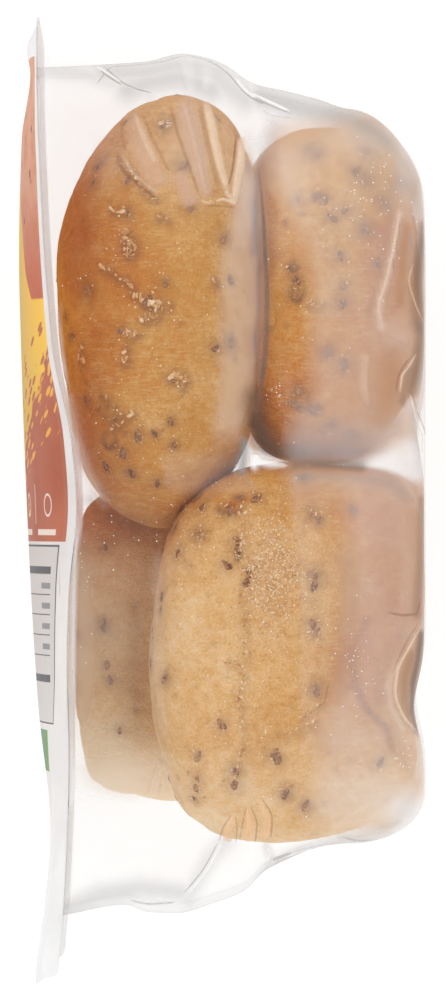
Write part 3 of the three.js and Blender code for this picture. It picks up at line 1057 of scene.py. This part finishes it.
# Each: pixels along it, width at its two ends in pixels, tone, how well it covers, and height
# in mm. A bare number is a tone between two of the named ones.
pleats_and_painted_light = [
    # over the top of the upper left roll
    ([(131, 112), (137, 134), (147, 160), (162, 190)], 20, 34, pink, 0.6, 0.3),
    ([(135, 114), (144, 138), (156, 163)], 6, 9, cream, 0.4, 0.5),
    ([(124, 116), (122, 132), (126, 152)], 5, 5, brown, 0.2, 0.2),
    ([(142, 112), (152, 138), (170, 172)], 5, 5, brown, 0.26, 0.2),
    ([(117, 152), (122, 168), (138, 184), (158, 200)], 6, 4, brown, 0.5, 0.2),
    ([(122, 154), (130, 168), (145, 184), (160, 194)], 5, 4, cream, 0.3, 0.3),
    ([(176, 172), (185, 186), (192, 206)], 16, 28, pink, 0.65, 0.3),
    ([(183, 97), (190, 125), (198, 157), (208, 200)], 30, 17, 0.52, 0.8, 0.4),
    ([(170, 105), (176, 128), (187, 160), (199, 195)], 5, 4, brown, 0.34, 0.2),
    ([(182, 99), (190, 125), (198, 158), (206, 194)], 8, 5, cream, 0.2, 0.6),
    ([(199, 101), (204, 128), (211, 158), (219, 194)], 8, 6, brown, 0.28, 0.2),
    ([(206, 101), (212, 128), (219, 160), (228, 193)], 12, 9, cream, 0.85, 0.5),
    ([(223, 120), (227, 150), (227, 180)], 6, 5, pink, 0.3, 0.2),
    ([(236, 134), (234, 158), (230, 180), (225, 191)], 3, 3, brown, 0.6, 0.2),
    ([(242, 136), (241, 158), (237, 182), (234, 203)], 11, 9, cream, 0.9, 0.5),
    ([(201, 200), (208, 203), (215, 202)], 3, 2, cream, 0.6, 0.4),
    ([(216, 202), (222, 199), (229, 201), (236, 204)], 3, 5, cream, 0.8, 0.4),
    ([(225, 190), (230, 197), (236, 204)], 6, 6, cream, 0.7, 0.6),
    ([(204, 206), (220, 206), (236, 208)], 3, 3, brown, 0.35, 0.2),
    # between the two upper rolls, painted shadow
    ([(258, 166), (262, 200), (265, 250), (267, 300), (266, 340), (262, 380), (255, 412)], 4, 8,
     shadow, 0.6, 0.1),
    # where the top wall is pinched
    ([(96, 66), (108, 74), (121, 82)], 4, 4, white, 0.95, 0.8),
    ([(100, 70), (112, 79), (122, 85)], 2, 2, greyed, 0.9, 0.5),
    ([(97, 84), (104, 74), (112, 66)], 2, 2, greyed, 0.5, 0.5),
    ([(104, 66), (122, 82), (136, 89), (152, 93)], 2, 2, greyed, 0.9, 0.6),
    ([(122, 83), (136, 90), (150, 94)], 2, 2, white, 0.6, 0.6),
    ([(184, 57), (189, 74), (192, 92)], 18, 9, white, 0.2, 0.3),
    ([(206, 66), (208, 78), (205, 90)], 14, 9, white, 0.2, 0.3),
    ([(108, 67), (134, 65), (160, 62), (184, 55)], 2, 2, greyed, 0.6, 0.2),
    ([(184, 55), (206, 60), (226, 72), (240, 87), (254, 99)], 2, 2, greyed, 0.7, 0.2),
    ([(236, 78), (247, 92), (256, 98)], 5, 4, white, 0.95, 0.7),
    ([(240, 88), (252, 98), (264, 104)], 2, 2, greyed, 0.9, 0.5),
    ([(251, 93), (270, 102), (290, 111)], 4, 3, white, 0.95, 0.6),
    ([(253, 97), (272, 106), (292, 114)], 2, 2, greyed, 0.7, 0.5),
    ([(262, 110), (274, 116), (292, 118)], 2, 2, greyed, 0.3, 0.5),
    # down the back
    ([(400, 210), (394, 245), (384, 288), (379, 305), (382, 326)], 3, 3, cream, 0.5, 0.8),
    ([(414, 262), (409, 280), (414, 300), (423, 322)], 3, 2, cream, 0.4, 0.5),
    ([(416, 354), (409, 366), (402, 376), (400, 392)], 3, 3, cream, 0.7, 0.8),
    ([(412, 356), (404, 366), (398, 378), (396, 394)], 4, 3, brown, 0.4, 0.3),
    ([(409, 392), (415, 414), (420, 440), (421, 470)], 2, 2, white, 0.5, 0.8),
    ([(412, 392), (418, 414), (422, 436)], 2, 2, brown, 0.35, 0.5),
    ([(387, 612), (402, 615), (416, 614), (421, 598)], 4, 3, brown, 0.5, 0.3),
    ([(422, 624), (409, 647), (397, 672), (395, 692), (401, 712), (412, 727), (421, 736)], 4, 4,
     cream, 0.75, 0.8),
    ([(419, 622), (404, 647), (392, 674)], 3, 3, brown, 0.25, 0.3),
    ([(352, 664), (356, 686), (368, 711), (387, 728), (391, 746)], 3, 3, greyed, 0.35, 0.4),
    ([(328, 680), (325, 700), (306, 716), (298, 726)], 3, 3, brown, 0.24, 0.3),
    # at the foot of the lower front roll, and in the empty end below it
    ([(227, 842), (229, 828), (234, 815)], 15, 4, peach, 0.7, 0.5),
    ([(219, 842), (223, 828), (232, 815)], 3, 2, brown, 0.35, 0.2),
    ([(236, 842), (237, 828), (235, 815)], 2, 2, brown, 0.35, 0.2),
    ([(247, 842), (250, 826), (248, 808)], 15, 5, peach, 0.7, 0.5),
    ([(240, 840), (243, 822), (247, 807)], 2, 2, brown, 0.3, 0.2),
    ([(255, 842), (257, 824), (250, 806)], 3, 2, brown, 0.4, 0.2),
    ([(264, 840), (267, 820), (259, 799)], 13, 4, peach, 0.65, 0.5),
    ([(271, 838), (272, 818), (261, 798)], 3, 2, brown, 0.4, 0.2),
    ([(343, 837), (352, 840), (362, 841), (374, 840)], 3, 3, greyed, 0.8, 0.4),
    ([(272, 860), (281, 857), (292, 853)], 5, 4, greyed, 0.7, 0.4),
    ([(266, 846), (270, 853), (267, 862)], 3, 3, white, 0.6, 0.4),
    ([(282, 858), (304, 851), (330, 845)], 3, 2, white, 0.5, 0.4),
    ([(147, 794), (151, 778), (156, 762)], 7, 3, pink, 0.35, 0.3),
    ([(158, 796), (160, 782), (164, 770)], 6, 3, pink, 0.3, 0.3),
    ([(222, 842), (208, 868), (187, 895)], 4, 3, white, 0.85, 0.6),
    ([(218, 842), (204, 868), (184, 893)], 2, 2, greyed, 0.5, 0.4),
    ([(130, 900), (150, 904), (176, 902)], 3, 3, greyed, 0.5, 0.5),
    ([(138, 903), (158, 898), (186, 908)], 2, 2, white, 0.8, 0.6),
    ([(59, 560), (60, 640), (60, 724), (60, 800), (55, 880)], 2, 2, greyed, 0.35, 0.2),
    ([(64, 700), (65, 780), (63, 860), (58, 930)], 2, 2, greyed, 0.3, 0.2),
    ([(77, 510), (74, 580), (73, 660), (78, 740)], 4, 4, white, 0.35, 0.4),
]
across_steps = 8              # points across a pleat
pixels_apart = 2.5            # between its rows of points
pleat_lift = 0.12             # mm, of its two sides over the film
pleat_drop = 14.0             # mm, the most that a pleat runs down over the film's edge


def pleat_rows(pixels, first_width, last_width, height):
    """Rows of points across one pleat, which lies on the film under a smooth line of pixels,
    and how fully each point covers: less at both ends and at both sides."""
    pixels = np.array(pixels, float)
    walked = distance_along(pixels)
    share = np.linspace(0, 1, max(int(walked[-1] / pixels_apart), 6))
    path = np.stack([line(*zip(walked, pixels[:, axis]))(share * walked[-1])
                     for axis in (0, 1)], -1)
    spots = []
    for pixel in path:
        spot = (0.0, 0.0, pack_width)
        for _ in range(3):
            x, y = from_photo(pixel, spot[2])
            spot = straight_down(film_tree, x, y)[0] or (x, y, spot[2])
        spots.append(spot)
    spots = np.array(spots)
    lowest = spots[:, 2].max() - pleat_drop
    spots[:, 2] = np.maximum(spots[:, 2], lowest)
    along = np.gradient(spots, axis=0)
    sideways = np.cross(along, [0, 0, 1])
    sideways /= np.linalg.norm(sideways, axis=1)[:, None]
    widths = (first_width + (last_width - first_width) * share) * PIXEL
    widths *= np.sin(math.pi * np.clip(share, 0.02, 0.98)) ** 0.2
    across = np.linspace(-0.5, 0.5, across_steps)
    rows = []
    for spot, side, width in zip(spots, sideways, widths):
        row = spot + side * (across * width)[:, None]
        hits = [straight_down(film_tree, x, y)[0] for x, y, _ in row]
        row[:, 2] = [max(hit.z, lowest) if hit else spot[2] for hit in hits]
        row[:, 2] += pleat_lift + height * min(1, width) * np.cos(math.pi * across) ** 2
        rows.append(row)
    fade = np.outer(np.clip(6 * share, 0, 1) * np.clip(6 - 6 * share, 0, 1),
                    1 - np.abs(2 * across) ** 2.5)
    return np.array(rows), fade


def pleat_finish():
    made = Finish("pinched_film_and_painted_light")
    # tones from painted shade in brown and shadow to painted highlight in cream and white
    tone = made.ramp(made.kept("tone"), (brown, linear(136, 84, 50)), (shadow, linear(92, 84, 78)),
                     (greyed, linear(168, 164, 162)), (pink, linear(212, 172, 146)),
                     (peach, linear(240, 192, 146)), (cream, linear(236, 208, 180)),
                     (white, linear(252, 251, 250)))
    uneven = made.scaled(made.noise(2.5, 3), 0.8, 0.6)
    cover = made.times(made.times(made.kept("cover"), uneven, clamp=True), made.looked_at())
    return made.done(made.shaders(cover, made.clear(), made.body(tone, 0.25)))


pleat_points, pleat_faces, pleat_tones, pleat_cover = [], [], [], []
pleat_count = 0
for pixels, first_width, last_width, tone, strength, height in pleats_and_painted_light:
    rows, fade = pleat_rows(pixels, first_width, last_width, height)
    first = pleat_count + np.arange(len(rows) - 1)[:, None] * across_steps
    first = (first + np.arange(across_steps - 1)).ravel()
    pleat_faces += np.stack([first, first + 1, first + across_steps + 1, first + across_steps],
                            -1).tolist()
    pleat_points.append(rows.reshape(-1, 3))
    pleat_tones.append(np.full(fade.size, tone))
    pleat_cover.append(fade.ravel() * strength)
    pleat_count += fade.size
film_pleats_and_painted_light = mesh_piece("film_pleats_and_painted_light", np.concatenate(pleat_points), pleat_faces)
spread(film_pleats_and_painted_light, "tone", np.concatenate(pleat_tones))
spread(film_pleats_and_painted_light, "cover", np.concatenate(pleat_cover))
film_pleats_and_painted_light.data.materials.append(pleat_finish())
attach(film_pleats_and_painted_light, "root")

# ---------------------------------------------------------------- drops on the film
# A little moisture from the bread has gathered on the film in groups of tiny round drops.
# Each group: pixel, spread across and along, and how many
drops_seen = [
    (378, 200, 20, 36, 90), (112, 240, 12, 24, 14), (277, 392, 6, 8, 12), (356, 655, 8, 38, 36),
    (403, 760, 7, 6, 16), (150, 330, 56, 110, 18), (120, 540, 30, 14, 18), (85, 580, 5, 50, 16),
    (250, 560, 50, 60, 40), (300, 700, 60, 80, 30),
]
steepest = 0.5                # drops stay where the film's way out points up more than this


def drop_finish():
    made = Finish("moisture")
    white_drop = made.clouded(1, 1, linear(240, 236, 232), linear(255, 255, 255))
    return made.done(made.body(white_drop, 0.12, 0.6))


drops = Scatter(3, 24)
for x, y, across, along, count in drops_seen:
    for pixel in drops.draw.normal((x, y), (across, along), (count, 2)):
        point, out = straight_down(film_tree, *from_photo(pixel, pack_width - long_seal))
        if point and out.z > steepest:
            radius = drops.draw.uniform(0.08, 0.2)
            drops.add(np.array(point), np.array(out), np.full(3, radius), 0.0, 0.0)
drops.piece("moisture_drops", drop_finish(), "clear_film")

# ---------------------------------------------------------------- the printed lid film
# A flat printed web laid over the filled pocket and heat-sealed to it all round, then cut to
# shape. The gas inside domes it; its sealed edge is bare and grey-white.
lining_depth = 0.2            # mm, from the printed face to the film's plain white inside
lid_rings = [on_lid(flange_rim + (mouth - flange_rim) * share, 0.0)
             for share in np.linspace(0, 1, seal_steps)]
lid_rings += [on_lid(shrunk(mouth, share), 0.0)
              for share in np.linspace(1, 0, dome_steps)[1:-1]]
lid = mesh_piece("printed_lid", *skin(lid_rings))
lining = mesh_piece("lid_lining", *skin([points + (lining_depth, 0, 0) for points in lid_rings]))

# The print, from the +Y end: a seeded crust picture, a yellow field, orange flecks, a
# terracotta band with four plain rings, a white panel of grey lines and bars, and two stamps
soft_edge = 0.12              # mm, of every printed field
picture_end = 50.0            # mm along Y at the lid's long sides, as all of these
picture_arch = 32.0           # how much further along the picture begins in the lid's middle
meeting_place = 3.6           # where yellow and terracotta meet in the lid's middle
fleck_reach = 24.0            # how far from there the flecks lie
band_end = -10.4
panel_end = -56.0
panel_lines = (-23.6, -28.6, -33.7, -38.8)
panel_bars = (-17.5, -44.6)
ring_places = ((-1.2, 72.0), (-1.2, 93.0), (-1.2, 40.0), (-1.2, 19.0))    # and mm up Z
ring_inner, ring_outer = 2.3, 3.0
divider_ends = (-6.0, 4.0)
dividers = (half_width - 25.7, half_width, half_width + 25.7)    # mm up Z
dash_ends = (-8.8, -7.2)
dashes = ((60.0, 76.0), (84.0, 99.0))                            # mm up Z
stamp_ends = (-68.0, -57.5)
stamps = (((66.0, 92.0), linear(96, 150, 160)), ((78.0, 92.0), linear(116, 160, 92)))


class LidPrint(Finish):
    """The printed film's finish, with ways of laying its fields one over another."""

    def __init__(self):
        super().__init__("printed_film")
        place = self.node("SeparateXYZ", {0: self.place()})
        self.along = self.times(place.outputs[1], 1 / METRE)
        self.across = self.times(place.outputs[2], 1 / METRE)
        self.from_middle = self.math("ABSOLUTE", self.less(self.across, half_width))

    def inside(self, value, low, high):
        """1 where a value lies between two others, 0 elsewhere."""
        up = self.times(self.less(value, low), 1 / soft_edge, clamp=True)
        down = self.times(self.less(high, value), 1 / soft_edge, clamp=True)
        return self.times(up, down)

    def field(self, low, high, far, near):
        return self.times(self.inside(self.along, low, high), self.inside(self.across, far, near))

    def crust_picture(self):
        """A browned crust with dark seeds in it."""
        tone = self.ramp(self.noise(9, 4, 0.6), (0.3, linear(202, 134, 98)),
                         (0.5, linear(214, 154, 122)), (0.7, linear(220, 170, 142)))
        baked_end = self.scaled(self.along, -0.04, 3.2, clamp=True)
        tone = self.over(tone, baked_end, linear(200, 104, 66))
        dark_seeds = self.times(self.dots(170.0, 0.16, 0.26), self.patchy(8, 0.5, 0.58, 0.85))
        return self.over(tone, dark_seeds, linear(104, 56, 44))

    def yellow_and_terracotta(self):
        """Two fields that meet along a slanting line with flecks about it."""
        slant = self.scaled(self.from_middle, -0.65, self.along)
        off_meeting = self.less(slant, meeting_place)
        ragged = self.scaled(self.noise(5, 3), 9.0, -4.5)
        meet = self.times(self.math("ADD", off_meeting, ragged), 1.2, clamp=True)
        yellow = self.clouded(30, 2, linear(255, 204, 56), linear(255, 214, 84))
        # painted shade: the yellow is darker and olive towards the lid's crown, where it turns steeply
        # away
        shaded = self.scaled(self.from_middle, -0.03, 1.4, clamp=True)
        yellow = self.over(yellow, self.times(shaded, 0.7), linear(214, 196, 98))
        terracotta = self.clouded(20, 2, linear(182, 100, 72), linear(196, 116, 86))
        both = self.over(terracotta, meet, yellow)
        turned = self.node("Mapping", {"Vector": self.place(), "Rotation": (1.1, 0, 0),
                                       "Scale": (1, 1, 0.27)}, vector_type="TEXTURE")
        strokes = self.node("TexVoronoi", {"Vector": turned.outputs[0], "Scale": 130.0})
        stroke = self.ramp(strokes.outputs["Distance"], (0.3, 1.0), (0.36, 0.0))
        near_line = self.times(self.math("ABSOLUTE", off_meeting), 1 / fleck_reach)
        near_line = self.ramp(near_line, (0.15, 1.0), (0.9, 0.0))
        picked = self.math("GREATER_THAN", near_line, strokes.outputs["Color"])
        fleck_tone = self.over(linear(248, 190, 84), meet, linear(196, 112, 70))
        return self.over(both, self.times(stroke, picked), fleck_tone)

    def pale_marks(self, colour):
        """Plain rings, and the dividers and dashes beside them."""
        pale_ink = linear(246, 236, 226)
        for ring_along, ring_across in ring_places:
            one = self.less(self.along, ring_along)
            other = self.less(self.across, ring_across)
            squares = self.math("ADD", self.times(one, one), self.times(other, other))
            away = self.math("SQRT", squares)
            colour = self.over(colour, self.inside(away, ring_inner, ring_outer), pale_ink)
        for divider in dividers:
            box = (*divider_ends, divider - 0.3, divider + 0.3)
            colour = self.over(colour, self.field(*box), pale_ink)
        for start, stop in dashes:
            colour = self.over(colour, self.field(*dash_ends, start, stop), pale_ink)
        return colour

    def white_panel(self, colour):
        """A panel with a frame, lines and bars, and two stamps beyond it."""
        ink = linear(96, 98, 104)
        panel_far, panel_near = long_seal + 2.5, pack_width - long_seal - 1.5
        panel = self.field(panel_end, band_end - 0.6, panel_far, panel_near)
        colour = self.over(colour, panel, linear(218, 218, 219))
        boxes = [(band_end - 1.3, band_end - 0.7, panel_far, panel_near),
                 (panel_end, panel_end + 0.5, panel_far, panel_near),
                 (panel_end, band_end - 0.7, panel_near - 0.9, panel_near),
                 (panel_end, band_end - 0.7, panel_far, panel_far + 0.9)]
        for places, half in ((panel_lines, 0.2), (panel_bars, 1.0)):
            boxes += [(y - half, y + half, panel_far + 4, panel_near - 5) for y in places]
        for box in boxes:
            colour = self.over(colour, self.field(*box), ink)
        for row in panel_lines:
            heading = self.field(row + 1.4, row + 3.0, panel_near - 14, panel_near - 5)
            colour = self.over(colour, heading, linear(150, 152, 158))
        for sides, tint in stamps:
            colour = self.over(colour, self.field(*stamp_ends, *sides), tint)
        return colour


def lid_finish():
    made = LidPrint()
    arch = made.ramp(made.times(made.from_middle, 1 / half_width), (0.2, 1.0), (0.46, 0.58),
                     (0.56, 0.2), (0.68, 0.0))
    arch = made.scaled(arch, picture_arch, picture_end)
    pictured = made.times(made.less(made.along, arch), 2.0, clamp=True)
    inks = made.over(made.yellow_and_terracotta(), pictured, made.crust_picture())
    bare_edge = made.scaled(made.along, 0.03, pack_width - 5.5)
    printed = made.times(made.field(band_end, half_length - top_seal + 1, 5.0, pack_width),
                         made.times(made.less(bare_edge, made.across), 5.0, clamp=True))
    paper = made.clouded(14, 3, linear(230, 231, 232), linear(240, 240, 241))
    colour = made.white_panel(made.pale_marks(made.over(paper, printed, inks)))
    creases = made.noise(9, 3, 0.5, 0.3, made.stretched(1, 3.5, 1))
    face = made.body(colour, made.scaled(made.noise(6, 2), 0.12, 0.3), 0.25,
                     Normal=made.bump(creases, 1.2, 0.35))
    lit_through = made.node("BsdfTranslucent", {"Color": colour})
    return made.done(made.shaders(0.5, face, lit_through.outputs[0]))


def lining_finish():
    made = Finish("white_lining")
    body = made.body(made.clouded(14, 3, linear(236, 236, 238), linear(246, 246, 247)), 0.4)
    return made.done(made.shaders(made.looked_at(), made.clear(), body))


lid.data.materials.append(lid_finish())
lining.data.materials.append(lining_finish())
for piece in (lid, lining):
    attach(piece, "root")
    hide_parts("lid_film")

# ---------------------------------------------------------------- floor, light and camera
# A white table, lit a little from below, in a bright white tent with two large soft lamps.
# The camera looks straight down on it.
table_reach = 3000.0          # mm, to each side
table_gap = 0.1               # mm, that its top lies under the pack
table_glow = 0.77
floor = mesh_piece("floor", [(x * table_reach, y * table_reach, -table_gap)
                             for x, y in ((-1, -1), (1, -1), (1, 1), (-1, 1))], [[0, 1, 2, 3]])
table = Finish("white_table")
floor.data.materials.append(table.done(table.body(table.clouded(400, 2, 0.32, 0.34), 0.9, 0.0, **{
    "Emission Color": (1, 1, 1, 1), "Emission Strength": table_glow})))


def lamp(name, place, size, power):
    light = bpy.data.lights.new(name, "AREA")
    light.size = size
    light.energy = power
    made = bpy.data.objects.new(name, light)
    made.location = place
    made.rotation_euler = (-Vector(place)).to_track_quat("-Z", "Y").to_euler()
    bpy.context.scene.collection.objects.link(made)


lamp("lamp_right", (1.7, -1.3, 1.6), 2.2, 6)
lamp("lamp_left", (-2.1, 0.7, 1.0), 2.2, 25)

world = bpy.data.worlds.new("studio")
world.use_nodes = True
tent = world.node_tree.nodes["Background"]
tent.inputs["Color"].default_value = (1.0, 1.0, 1.0, 1)
tent.inputs["Strength"].default_value = 0.85

camera_data = bpy.data.cameras.new("camera")
camera_data.sensor_fit = "VERTICAL"
camera_data.sensor_height = 24.0
picture_height = 1000         # pixels
camera_data.lens = (camera_data.sensor_height * (LOOK_FROM - MIDDLE_HEIGHT)
                    / (picture_height * PIXEL))
camera = bpy.data.objects.new("camera", camera_data)
middle = from_photo((223.0, 500.0), MIDDLE_HEIGHT)
camera.location = (middle[0] * METRE, middle[1] * METRE, LOOK_FROM * METRE)
bpy.context.scene.collection.objects.link(camera)

scene = bpy.context.scene
scene.camera = camera
scene.world = world
scene.view_settings.view_transform = "Standard"
scene.cycles.transparent_max_bounces = 32
